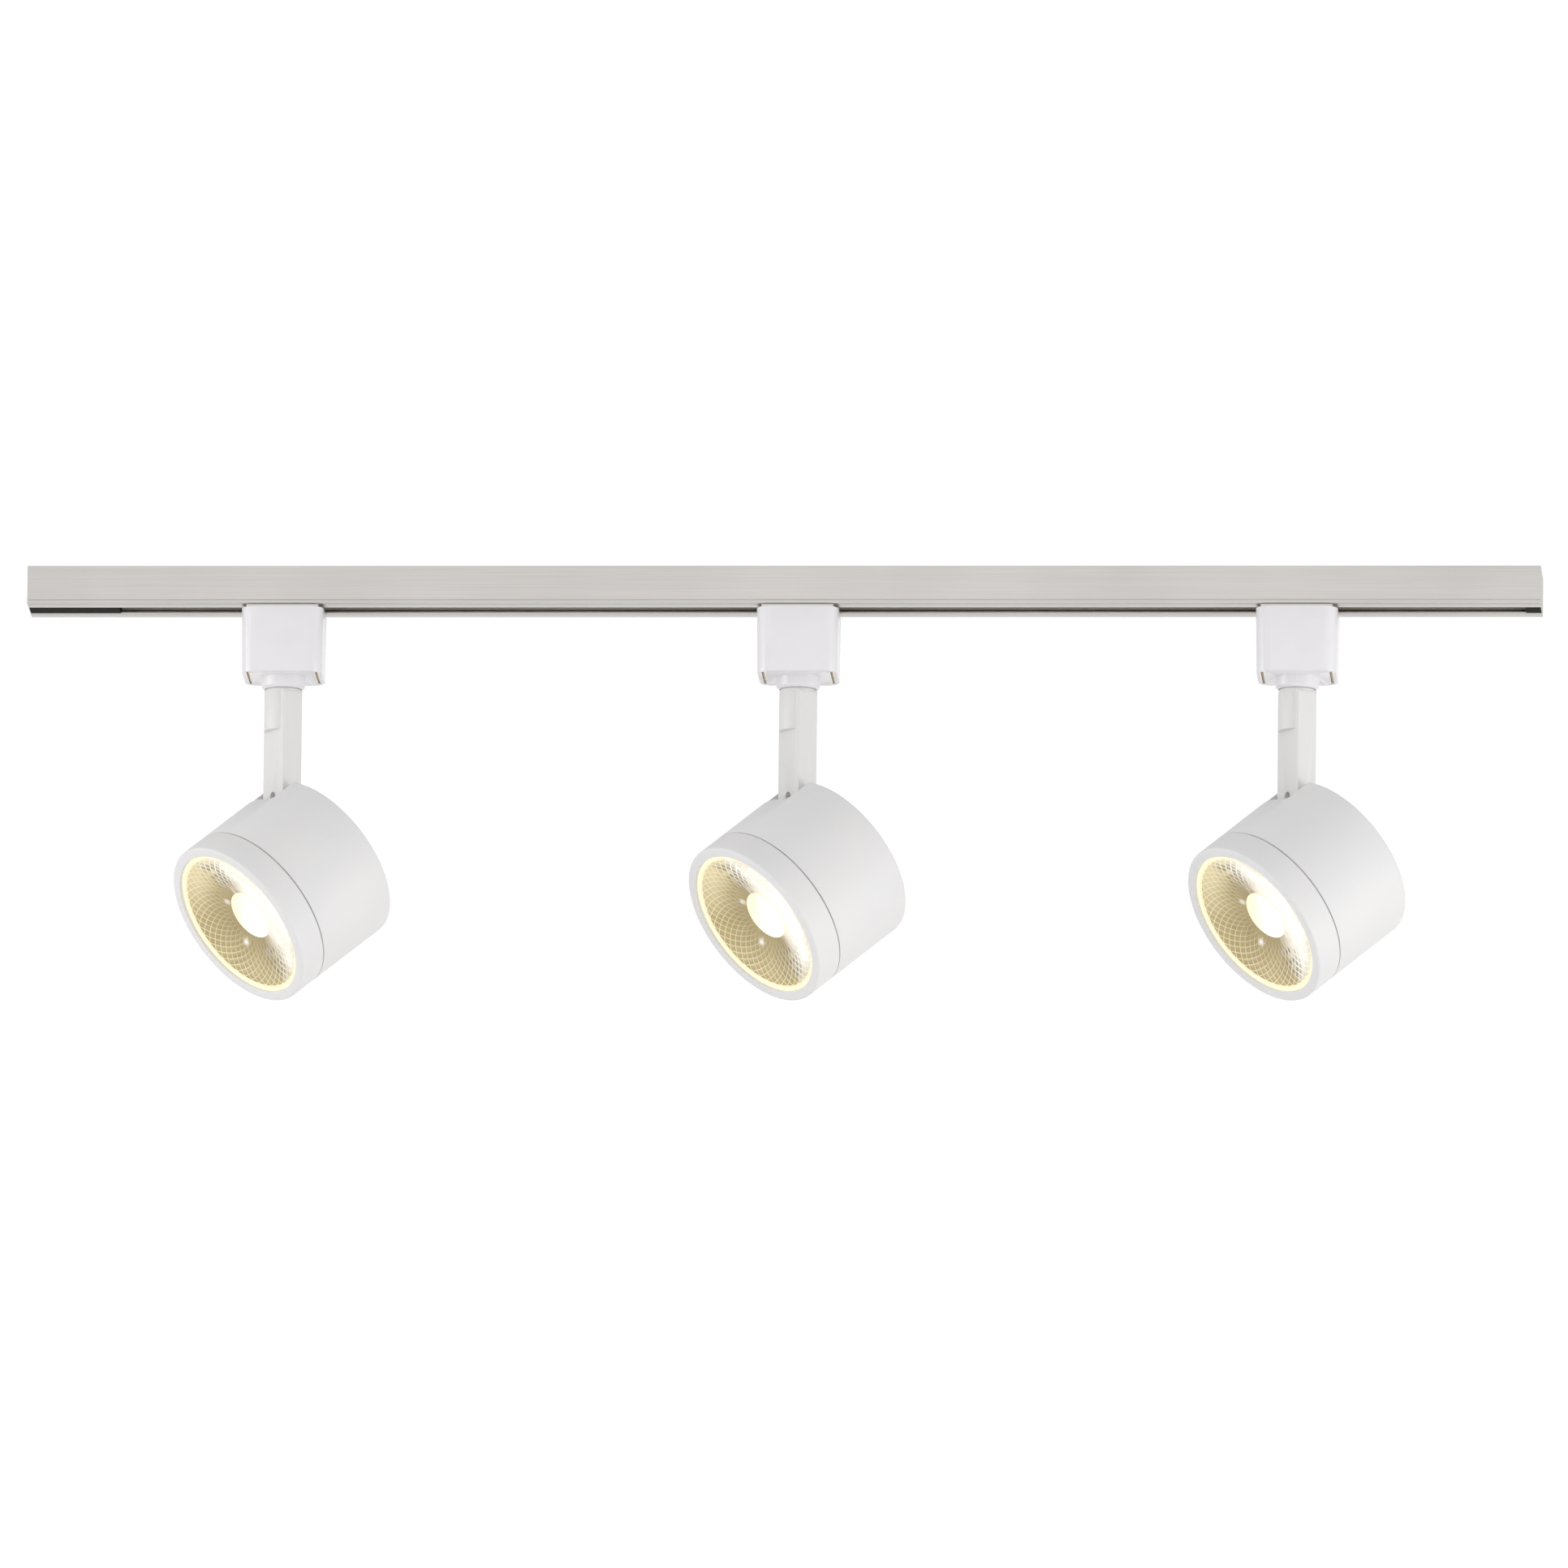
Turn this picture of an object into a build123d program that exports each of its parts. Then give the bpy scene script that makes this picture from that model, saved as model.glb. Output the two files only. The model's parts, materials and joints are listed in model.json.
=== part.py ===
from build123d import *
import os
from math import cos, radians, sin, sqrt, tan

# Three spotlights under a straight length of single-circuit track, in millimetres.
# The origin is the centre of the track's top face, X runs along the track and Z is up.
# A spotlight is an adapter in the track, a stem that swivels in it, and a head that tilts.

# Clearances
seat_gap = 0.05  # between fixed pieces that seat on each other
running_gap = 0.05  # radial, shaft in bore
slide_gap = 0.3  # between pieces that move past each other
shadow_gap = 1.6  # between the track and the adapter below it

# Track
track_length = 750.0
track_width = 35.0
track_height = 19.0
track_side_wall = 1.6
track_top_wall = 1.8
track_lip = 1.0
track_mouth = 14.0
track_edge_radius = 0.6
groove_depth = 0.4
groove_height = 0.5
groove_above_edge = 2.0
fixing_hole_radius = 2.5
fixing_hole_inset = 65.0
feed_hole_radius = 11.0
feed_hole_inset = 25.0

# Insulators, conductors and end plugs inside the track
insulator_thickness = 4.0
insulator_height = 13.2
insulator_drop = 1.2
conductor_depth = 1.6
conductor_height = 3.0
dead_plug_length = 8.0
feed_plug_length = 45.0
feed_chamber_depth = 10.0
terminal_length = 14.0
terminal_screw_radius = 2.0
terminal_screw_inset = 7.0

# Adapter
adapter_width = 40.6
adapter_depth = 39.6
adapter_height = 32.6
adapter_taper = 0.85
adapter_corner = 8.0
adapter_wall = 1.4
adapter_floor = 1.6
core_plate = 3.0
core_floor = 2.0
core_web = 1.6
core_web_length = 24.0
collar_radius = 10.8
collar_height = 6.1
collar_chamfer = 1.2
collar_recess_radius = 9.0
collar_recess_depth = 2.0
wing_thickness = 3.0
post_drop = 2.2
blade_width = 4.0
blade_thickness = 0.8
blade_root = 3.5
shoe_width = 5.0
shoe_height = 2.6
shoe_thickness = 0.6

# Latch yoke: a brass plate in each slit, joined by two side bars
latch_offset = 17.0
latch_thickness = 0.8
latch_end_inset = 5.75
latch_slit_inset = 5.0
latch_slit_width = 1.1
latch_recess = 0.6
latch_plate_height = 26.6
latch_bar_height = 4.0
latch_bar_width = 1.0
latch_bar_rise = 20.6

# Stem and swivel
stem_width = 19.6
stem_thickness = 10.8
stem_edge_radius = 0.5
stem_length = 66.9
stem_gap = 0.6
stem_shoulder_radius = 2.5
boss_radius = 9.3
boss_height = 20.4
swivel_radius = 5.0
swivel_bore_radius = 3.4
swivel_seat_depth = 9.4
nut_width = 13.0
nut_height = 4.4
lead_radius = 0.9
lead_spacing = 2.2
lead_bore_radius = 2.6
lead_exit_above_pivot = 13.0

# Head, measured from the pivot: X towards the lens, Y along the pivot, Z up when level
pan_angle = 213.0
tilt_angle = 38.4
head_radius = 44.45
head_length = 63.5
rear_behind_pivot = 11.25
pivot_above_axis = 26.9
housing_wall = 2.2
housing_edge_radius = 1.5
trim_length = 15.2
trim_seam = 0.3
trim_face_width = 5.05
trim_lip = 1.3
trim_edge_radius = 0.8
spigot_wall = 1.0
spigot_length = 9.0
slot_width = 27.5
slot_corner = 3.0
slot_clearance = 0.6
ear_thickness = 2.0
bracket_wall = 2.3
pivot_radius = 2.5
bolt_head_width = 8.0
bolt_head_length = 3.4
washer_radius = 6.0
washer_thickness = 0.8

# Light engine inside the head
sink_plate = 3.0
sink_behind_front = 27.25
fin_length = 10.0
fin_thickness = 1.6
fin_spacing = 10.0
fin_count = 7
board_radius = 14.0
board_thickness = 1.6
emitter_radius = 7.5
emitter_height = 1.2
emitter_gap = 0.9
lens_flange_thickness = 3.2
lens_flange_width = 3.4
hub_radius = 12.7
hub_recess = 9.0
lens_pocket_radius = 8.5
lens_pocket_depth = 4.4
lens_rim_width = 2.5
lens_back_sag = 3.5
lens_bowl_sag = 1.2
retainer_thickness = 1.4
retainer_width = 2.4
driver_length = 18.5
driver_width = 40.0
driver_height = 34.0
driver_below_axis = 29.0

# Places that follow from the sizes
half_length = track_length / 2
half_mouth = track_mouth / 2
inner_half = track_width / 2 - track_side_wall
lip_top = track_lip - track_height
insulator_face = inner_half - insulator_thickness
insulator_top = -track_top_wall - insulator_drop
conductor_middle = insulator_top - insulator_height / 2
adapter_top = -track_height - shadow_gap
adapter_bottom = adapter_top - adapter_height
collar_bottom = adapter_bottom - collar_height
neck_radius = half_mouth - slide_gap
wing_reach = insulator_face - 2 * slide_gap
latch_length = adapter_depth - 2 * latch_end_inset
latch_slit_length = adapter_depth - 2 * latch_slit_inset
core_web_offset = latch_length / 2 - latch_bar_width - slide_gap - core_web
stem_top = collar_bottom - stem_gap
pivot_height = stem_top - stem_length
front = head_length - rear_behind_pivot
trim_back = front - trim_length
housing_front = trim_back - trim_seam
housing_inner_radius = head_radius - housing_wall
opening_radius = head_radius - trim_face_width
spigot_radius = housing_inner_radius - 5 * seat_gap
trim_bore_radius = spigot_radius - spigot_wall
rear_inside = housing_wall - rear_behind_pivot
sink_front = front - sink_behind_front
stem_reach = stem_thickness / 2 + slot_clearance
ear_outside = slot_width / 2 - 5 * seat_gap
ear_inside = ear_outside - ear_thickness

# Where each spotlight's swivel axis stands along the track
light_places = {"left": -248.4, "middle": 7.0, "right": 254.2}


def block(x_span, y_span, z_span):
    # A box given by its span along each axis.
    spans = [sorted(span) for span in (x_span, y_span, z_span)]
    middle = [(low + high) / 2 for low, high in spans]
    return Pos(*middle) * Box(*[high - low for low, high in spans])


def rod(radius, low, high, axis="z", at=(0, 0)):
    # A cylinder from low to high along an axis, centred at the other two coordinates.
    middle, shape = (low + high) / 2, Cylinder(radius, high - low)
    if axis == "x":
        return Pos(middle, *at) * Rot(0, 90, 0) * shape
    if axis == "y":
        return Pos(at[0], middle, at[1]) * Rot(90, 0, 0) * shape
    return Pos(*at, middle) * shape


def hexagon(width, low, high, axis="z"):
    # A hexagonal prism across flats from low to high, on the axis through the origin.
    shape = extrude(RegularPolygon(width / 2, 6, major_radius=False), high - low)
    if axis == "y":
        return Pos(0, low, 0) * Rot(-90, 0, 0) * shape
    return Pos(0, 0, low) * shape


def ring(outer, inner, low, high, axis="z"):
    return rod(outer, low, high, axis) - rod(inner, low - 1, high + 1, axis)


def turned(points):
    # A solid turned about the head's own axis, from (distance forward, radius) points.
    outline = make_face(Polyline(*[(x, r) for x, r in points], close=True))
    return turned_face(outline)


def turned_face(outline):
    shape = revolve(outline, Axis.X)
    return Pos(0, 0, -pivot_above_axis) * shape


# Track


def make_track_rail():
    along = (-half_length, half_length)
    rail = block(along, (-track_width / 2, track_width / 2), (-track_height, 0))
    rail -= block(along, (-inner_half, inner_half), (lip_top, -track_top_wall))
    rail -= block(along, (-half_mouth, half_mouth), (-track_height, lip_top))
    lower = [
        edge
        for edge in rail.edges().filter_by(Axis.X)
        if edge.center().Z < lip_top - track_lip / 2 and abs(edge.center().Y) > inner_half
    ]
    rail = fillet(lower, track_edge_radius)
    groove_base = groove_above_edge - track_height
    for side in (-1, 1):
        face = side * track_width / 2
        groove = (groove_base, groove_base + groove_height)
        rail -= block(along, (face - side * groove_depth, face + side), groove)
        hole_at = (side * (half_length - fixing_hole_inset), 0)
        rail -= rod(fixing_hole_radius, -track_top_wall - 1, 1, at=hole_at)
    feed_at = (feed_hole_inset - half_length, 0)
    return rail - rod(feed_hole_radius, -track_top_wall - 1, 1, at=feed_at)


def conductor_span(side):
    return (side * insulator_face, side * (insulator_face + conductor_depth))


def conductor_heights(gap=0.0):
    half = conductor_height / 2 + gap
    return (conductor_middle - half, conductor_middle + half)


def make_insulator_strips():
    along = (feed_plug_length - half_length + seat_gap, half_length - dead_plug_length - seat_gap)
    strips = []
    for side in (-1, 1):
        across = (side * insulator_face, side * inner_half)
        strip = block(along, across, (insulator_top - insulator_height, insulator_top))
        strips.append(strip - block(along, conductor_span(side), conductor_heights()))
    return strips


def make_conductor_bars():
    start = feed_plug_length - half_length - terminal_length
    along = (start, half_length - dead_plug_length - seat_gap)
    return [block(along, conductor_span(side), conductor_heights()) for side in (-1, 1)]


def plug_body(along):
    # Fills the inside of the track and its mouth, flush with the end and the lips.
    half = inner_half - 2 * seat_gap
    body = block(along, (-half, half), (lip_top + 2 * seat_gap, -track_top_wall - 2 * seat_gap))
    half = half_mouth - 2 * seat_gap
    return body + block(along, (-half, half), (-track_height, lip_top + 2 * seat_gap))


def make_dead_end_plug():
    return plug_body((half_length - dead_plug_length, half_length))


def terminal_places():
    along = feed_plug_length - half_length - terminal_screw_inset
    across = insulator_face + conductor_depth / 2
    return [(along, side * across) for side in (-1, 1)]


def make_feed_end_plug():
    end = feed_plug_length - half_length
    plug = plug_body((-half_length, end))
    chamber_at = (feed_hole_inset - half_length, 0)
    plug -= rod(feed_hole_radius + 1, -track_top_wall - feed_chamber_depth, 0, at=chamber_at)
    low, high = conductor_heights(seat_gap)
    for side, place in zip((-1, 1), terminal_places()):
        inner, outer = conductor_span(side)
        across = (inner - side * seat_gap, outer + side * seat_gap)
        plug -= block((end - terminal_length - seat_gap, end + 1), across, (low, high))
        plug -= rod(terminal_screw_radius + seat_gap, conductor_middle, 0, at=place)
    return plug


def make_terminal_screws():
    foot = conductor_heights()[1]
    head = -track_top_wall - 4 * seat_gap
    screws = []
    for x, y in terminal_places():
        screw = rod(terminal_screw_radius, foot, head, at=(x, y))
        radius, depth = terminal_screw_radius, terminal_screw_radius / 2
        slot = block((x - radius, x + radius), (y - depth / 4, y + depth / 4), (head - depth, head))
        screws.append(screw - slot)
    return screws


# Adapter


def adapter_half(height, inset=0.0):
    # Half sizes of the tapered box at a height, less an inset all round.
    draw_in = (adapter_top - height) * tan(radians(adapter_taper))
    return adapter_width / 2 - draw_in - inset, adapter_depth / 2 - draw_in - inset


def adapter_layer(high, low, inset):
    # A straight layer that fits the tapered box at its lower face.
    half_x, half_y = adapter_half(low, inset)
    outline = RectangleRounded(2 * half_x, 2 * half_y, adapter_corner - inset)
    return Pos(0, 0, low) * extrude(outline, high - low)


def tapered_box(inset, height):
    half_x, half_y = adapter_half(adapter_top, inset)
    outline = RectangleRounded(2 * half_x, 2 * half_y, adapter_corner - inset)
    shape = extrude(outline, -height, taper=adapter_taper)
    return Pos(0, 0, adapter_top) * shape


def latch_span(side, width):
    return (side * latch_offset - width / 2, side * latch_offset + width / 2)


def make_adapter_shell():
    shell = tapered_box(0, adapter_height)
    shell -= tapered_box(adapter_wall, adapter_height - adapter_floor)
    collar = rod(collar_radius, collar_bottom, adapter_bottom)
    shell += chamfer(collar.edges().group_by(Axis.Z)[0], collar_chamfer)
    floor_top = adapter_bottom + adapter_floor
    shell -= rod(swivel_radius + running_gap, collar_bottom - 1, floor_top + 1)
    shell -= rod(collar_recess_radius, collar_bottom - 1, collar_bottom + collar_recess_depth)
    half = latch_slit_length / 2
    for side in (-1, 1):
        slit = latch_span(side, latch_slit_width)
        shell -= block(slit, (-half, half), (adapter_bottom - 1, floor_top))
    return shell


def make_adapter_core():
    # Inside the shell: a floor between the latch plates, two webs and a top plate,
    # with the neck, wings and contact post above it in the track.
    inset = adapter_wall + 2 * seat_gap
    floor = core_floor_span()
    half = latch_offset - latch_thickness / 2 - slide_gap
    core = adapter_layer(floor[1], floor[0], inset)
    core &= block((-half, half), (-adapter_depth, adapter_depth), floor)
    core += adapter_layer(adapter_top, adapter_top - core_plate, inset)
    half = core_web_length / 2
    for side in (-1, 1):
        across = (side * core_web_offset, side * (core_web_offset + core_web))
        core += block((-half, half), across, (floor[0], adapter_top))
    wing_low = lip_top + slide_gap
    wing_heights = (wing_low, wing_low + wing_thickness)
    core += rod(neck_radius, adapter_top, -track_top_wall - post_drop)
    wing = block((-neck_radius, neck_radius), (-wing_reach, wing_reach), wing_heights)
    core += wing & rod(wing_reach, *wing_heights)
    core -= rod(swivel_radius + running_gap, floor[0] - 1, floor[1] + 1)
    plate = (adapter_top - core_plate - 1, adapter_top + 1)
    for side in (-1, 1):
        core -= blade_tab(side)
        core -= block(latch_span(side, latch_slit_width), (-half_mouth, half_mouth), plate)
    return core


def core_floor_span():
    low = adapter_bottom + adapter_floor + seat_gap
    return low, low + core_floor


def blade_tab(side):
    half = blade_thickness / 2
    reach = insulator_face - slide_gap - shoe_thickness
    heights = (conductor_middle - half, conductor_middle + half)
    return block((-blade_width / 2, blade_width / 2), (side * blade_root, side * reach), heights)


def make_contact_blades():
    blades = []
    for side in (-1, 1):
        tip = insulator_face - slide_gap
        across = (side * (tip - shoe_thickness), side * tip)
        heights = (conductor_middle - shoe_height / 2, conductor_middle + shoe_height / 2)
        shoe = block((-shoe_width / 2, shoe_width / 2), across, heights)
        blades.append(blade_tab(side) + shoe)
    return blades


def make_latch_yoke():
    bottom = adapter_bottom + latch_recess
    plate_top = bottom + latch_plate_height
    bar_low = bottom + latch_bar_rise
    half = latch_length / 2
    tongue = half_mouth - slide_gap
    yoke = None
    for side in (-1, 1):
        along = latch_span(side, latch_thickness)
        plate = block(along, (-half, half), (bottom, plate_top))
        plate += block(along, (-tongue, tongue), (plate_top, lip_top))
        yoke = plate if yoke is None else yoke + plate
    for side in (-1, 1):
        across = (side * (half - latch_bar_width), side * half)
        yoke += block((-latch_offset, latch_offset), across, (bar_low, bar_low + latch_bar_height))
    return yoke


# Stem, in its own frame: X towards the lens, Y along the pivot, heights as on the track


def neck_top():
    return collar_bottom + collar_recess_depth - stem_gap


def make_stem():
    bar = extrude(RectangleRounded(stem_thickness, stem_width, stem_edge_radius), stem_length)
    side_view = RectangleRounded(2 * stem_length, stem_width, stem_shoulder_radius)
    bar &= Pos(-stem_width / 2, 0, 0) * Rot(0, 90, 0) * extrude(side_view, stem_width)
    stem = Pos(0, 0, pivot_height) * bar
    stem += Pos(0, 0, pivot_height) * rod(
        stem_thickness / 2, -stem_width / 2, stem_width / 2, "y"
    )
    stem += rod(boss_radius, stem_top - boss_height, stem_top)
    stem += rod(collar_recess_radius - slide_gap, stem_top - boss_height / 2, neck_top())
    seat_bottom = stem_top - swivel_seat_depth
    exit_height = pivot_height + lead_exit_above_pivot
    stem -= rod(swivel_radius + seat_gap, seat_bottom, neck_top() + 1)
    stem -= rod(lead_bore_radius, exit_height, seat_bottom + 1)
    stem -= rod(lead_bore_radius, 0, stem_thickness, "x", at=(0, exit_height))
    return stem - Pos(0, 0, pivot_height) * rod(
        pivot_radius + running_gap, -stem_width, stem_width, "y"
    )


def nut_span():
    low = core_floor_span()[1] + slide_gap
    return low, low + nut_height


def make_swivel_tube():
    bottom = stem_top - swivel_seat_depth + seat_gap
    return ring(swivel_radius, swivel_bore_radius, bottom, nut_span()[1] + 1)


def make_swivel_nut():
    low, high = nut_span()
    return hexagon(nut_width, low, high) - rod(swivel_radius + seat_gap, low - 1, high + 1)


def make_stem_leads():
    low, high = pivot_height + lead_exit_above_pivot, nut_span()[1] + 2
    offset = lead_spacing / 2
    return [rod(lead_radius, low, high, at=(0, side * offset)) for side in (-1, 1)]


# Head, in its own frame: origin on the pivot, X towards the lens, level


def head_rod(radius, low, high):
    return rod(radius, low, high, "x", at=(0, -pivot_above_axis))


def make_rear_housing():
    shell = head_rod(head_radius, -rear_behind_pivot, housing_front)
    shell = fillet(shell.edges().group_by(Axis.X)[0], housing_edge_radius)
    shell -= head_rod(housing_inner_radius, rear_inside, housing_front + 1)
    # The slot is where a plan outline with round front corners meets
    # an end outline with round lower corners.
    reach = 2 * head_radius
    plan = RectangleRounded(2 * reach, slot_width, slot_corner)
    end = RectangleRounded(2 * reach, slot_width, slot_corner)
    along = Pos(stem_reach - reach, 0, -reach) * extrude(plan, 2 * reach)
    up = Pos(-reach, 0, reach - stem_reach) * Rot(0, 90, 0) * extrude(end, 2 * reach)
    return shell - (along & up)


def bracket_top():
    inside = housing_inner_radius - 2 * seat_gap
    return sqrt(inside**2 - ear_outside**2) - pivot_above_axis


def make_hinge_bracket():
    outer = stem_reach + bracket_wall + 5 * seat_gap
    inner = stem_reach + 5 * seat_gap
    body = block((rear_inside, outer), (-ear_outside, ear_outside), (-outer, bracket_top()))
    bay = block((-outer * 3, inner), (-ear_inside, ear_inside), (-inner, outer * 3))
    corner = block((0, inner), (-ear_inside, ear_inside), (-inner, 0))
    bay = bay - corner + rod(inner, -ear_inside, ear_inside, "y")
    return body - bay - rod(pivot_radius + seat_gap, -ear_outside - 1, ear_outside + 1, "y")


def make_pivot_bolt():
    tip = ear_outside + bolt_head_length + 1
    bolt = rod(pivot_radius, -ear_outside, tip, "y")
    bolt += hexagon(bolt_head_width, -ear_outside - bolt_head_length, -ear_outside, "y")
    nut = hexagon(bolt_head_width, ear_outside, ear_outside + bolt_head_length, "y")
    return [bolt, nut - rod(pivot_radius + seat_gap, ear_outside - 1, tip, "y")]


def make_pivot_washers():
    low = ear_inside - seat_gap - washer_thickness
    washers = []
    for side in (-1, 1):
        near, far = sorted((side * low, side * (low + washer_thickness)))
        washers.append(ring(washer_radius, pivot_radius + seat_gap, near, far, "y"))
    return washers


def make_trim_ring():
    back = trim_back - spigot_length
    lip_back = front - trim_lip
    edge = trim_edge_radius
    outline = [
        (back, trim_bore_radius),
        (back, spigot_radius),
        (trim_back, spigot_radius),
        (trim_back, head_radius),
        (front - edge, head_radius),
        (front - edge * (1 - sin(radians(45))), head_radius - edge * (1 - cos(radians(45)))),
        (front, head_radius - edge),
        (front, opening_radius),
        (lip_back, opening_radius),
        (lip_back, trim_bore_radius),
    ]
    return turned(outline)


def flange_span():
    high = front - trim_lip - seat_gap
    return high - lens_flange_thickness, high


def make_lens():
    low, high = flange_span()
    rim_radius = trim_bore_radius - 2 * seat_gap
    bowl_radius = opening_radius - lens_flange_width
    back_radius = rim_radius - retainer_width - 2 * seat_gap
    hub_front = front - hub_recess
    base = sink_front + board_thickness + emitter_height + emitter_gap
    base_radius = lens_pocket_radius + lens_rim_width
    pocket_top = base + lens_pocket_depth
    bowl_middle = ((high + hub_front) / 2 - lens_bowl_sag, (bowl_radius + hub_radius) / 2)
    back_middle = ((base + low) / 2 - lens_back_sag, (base_radius + back_radius) / 2 + lens_back_sag)
    front_line = Polyline((low, back_radius), (low, rim_radius), (high, rim_radius), (high, bowl_radius))
    bowl = ThreePointArc((high, bowl_radius), bowl_middle, (hub_front, hub_radius))
    middle_line = Polyline(
        (hub_front, hub_radius),
        (hub_front, 0),
        (pocket_top, 0),
        (pocket_top, lens_pocket_radius),
        (base, lens_pocket_radius),
        (base, base_radius),
    )
    back = ThreePointArc((base, base_radius), back_middle, (low, back_radius))
    edges = front_line.edges() + bowl.edges() + middle_line.edges() + back.edges()
    return turned_face(make_face(edges))


def make_lens_retainer():
    low = flange_span()[0]
    outer = trim_bore_radius - seat_gap
    high = low - seat_gap
    points = [(high - retainer_thickness, outer - retainer_width), (high, outer - retainer_width)]
    return turned(points + [(high, outer), (high - retainer_thickness, outer)])


def make_heat_sink():
    radius = housing_inner_radius - seat_gap
    back = sink_front - sink_plate
    sink = head_rod(radius, back, sink_front)
    fins = None
    for number in range(fin_count):
        y = (number - (fin_count - 1) / 2) * fin_spacing
        across = (y - fin_thickness / 2, y + fin_thickness / 2)
        fin = block((back - fin_length, back), across, (-3 * radius, 3 * radius))
        fins = fin if fins is None else fins + fin
    return sink + (fins & head_rod(radius - 1, back - fin_length, back))


def make_led_board():
    face = sink_front + board_thickness
    board = head_rod(board_radius, sink_front, face)
    return [board, head_rod(emitter_radius, face, face + emitter_height)]


def make_driver():
    bottom = -pivot_above_axis - driver_below_axis
    heights = (bottom, bottom + driver_height)
    across = (-driver_width / 2, driver_width / 2)
    case = block((rear_inside, rear_inside + driver_length), across, heights)
    return fillet(case.edges().filter_by(Axis.X), 2 * stem_edge_radius)


# Writing: one file for each piece, every piece in its place


def write(name, shapes, place=Pos(0, 0, 0)):
    shapes = shapes if isinstance(shapes, list) else [shapes]
    solids = [solid for shape in shapes for solid in (place * shape).solids()]
    whole = solids[0] if len(solids) == 1 else Compound(children=solids)
    export_step(whole, f"parts/{name}.step")


os.makedirs("parts", exist_ok=True)

track_pieces = {
    "track_rail": make_track_rail(),
    "insulator_strips": make_insulator_strips(),
    "conductor_bars": make_conductor_bars(),
    "dead_end_plug": make_dead_end_plug(),
    "feed_end_plug": make_feed_end_plug(),
    "terminal_screws": make_terminal_screws(),
}
adapter_pieces = {
    "adapter_shell": make_adapter_shell(),
    "adapter_core": make_adapter_core(),
    "contact_blades": make_contact_blades(),
    "latch_yoke": make_latch_yoke(),
}
stem_pieces = {
    "stem": make_stem(),
    "swivel_tube": make_swivel_tube(),
    "swivel_nut": make_swivel_nut(),
    "stem_leads": make_stem_leads(),
}
head_pieces = {
    "rear_housing": make_rear_housing(),
    "hinge_bracket": make_hinge_bracket(),
    "pivot_bolt": make_pivot_bolt(),
    "pivot_washers": make_pivot_washers(),
    "trim_ring": make_trim_ring(),
    "lens": make_lens(),
    "lens_retainer": make_lens_retainer(),
    "heat_sink": make_heat_sink(),
    "led_board": make_led_board(),
    "driver": make_driver(),
}

for name, shapes in track_pieces.items():
    write(name, shapes)
for light, along_track in light_places.items():
    adapter_place = Pos(along_track, 0, 0)
    stem_place = adapter_place * Rot(0, 0, pan_angle)
    head_place = stem_place * Pos(0, 0, pivot_height) * Rot(0, tilt_angle, 0)
    groups = (
        (adapter_place, adapter_pieces),
        (stem_place, stem_pieces),
        (head_place, head_pieces),
    )
    for place, pieces in groups:
        for name, shapes in pieces.items():
            write(f"{light}_{name}", shapes, place)
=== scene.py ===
import json
import math

import bmesh
import bpy
from mathutils import Matrix, Vector


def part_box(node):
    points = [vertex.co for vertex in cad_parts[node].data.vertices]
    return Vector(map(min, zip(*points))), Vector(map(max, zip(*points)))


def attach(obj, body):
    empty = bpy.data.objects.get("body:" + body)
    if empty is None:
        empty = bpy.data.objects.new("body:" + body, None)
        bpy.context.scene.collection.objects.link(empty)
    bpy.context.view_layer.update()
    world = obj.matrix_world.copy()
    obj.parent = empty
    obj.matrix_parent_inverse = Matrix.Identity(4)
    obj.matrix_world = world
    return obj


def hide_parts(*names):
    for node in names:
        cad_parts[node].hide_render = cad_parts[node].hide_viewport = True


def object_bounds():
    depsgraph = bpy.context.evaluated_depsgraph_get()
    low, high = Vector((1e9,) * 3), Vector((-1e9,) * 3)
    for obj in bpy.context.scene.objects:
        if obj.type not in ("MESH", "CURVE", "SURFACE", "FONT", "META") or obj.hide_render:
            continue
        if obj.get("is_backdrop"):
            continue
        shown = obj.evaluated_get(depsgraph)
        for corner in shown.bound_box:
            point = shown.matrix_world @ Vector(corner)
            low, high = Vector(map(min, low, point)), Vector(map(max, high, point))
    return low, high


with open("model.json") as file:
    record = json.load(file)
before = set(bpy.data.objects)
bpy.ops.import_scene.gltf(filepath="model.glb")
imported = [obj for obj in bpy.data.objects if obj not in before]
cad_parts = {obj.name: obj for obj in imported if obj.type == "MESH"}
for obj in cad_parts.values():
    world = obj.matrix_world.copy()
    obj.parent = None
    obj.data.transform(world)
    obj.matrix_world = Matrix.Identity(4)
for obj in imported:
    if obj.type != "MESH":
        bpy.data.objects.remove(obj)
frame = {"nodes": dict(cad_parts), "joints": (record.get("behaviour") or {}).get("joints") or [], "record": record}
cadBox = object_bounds()
joints = {joint["name"]: joint for joint in frame["joints"]}
sides = ("left", "middle", "right")
mm = 0.001
print("frame loaded,", len(frame["nodes"]), "nodes")


# Nodes and shader maths

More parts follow.
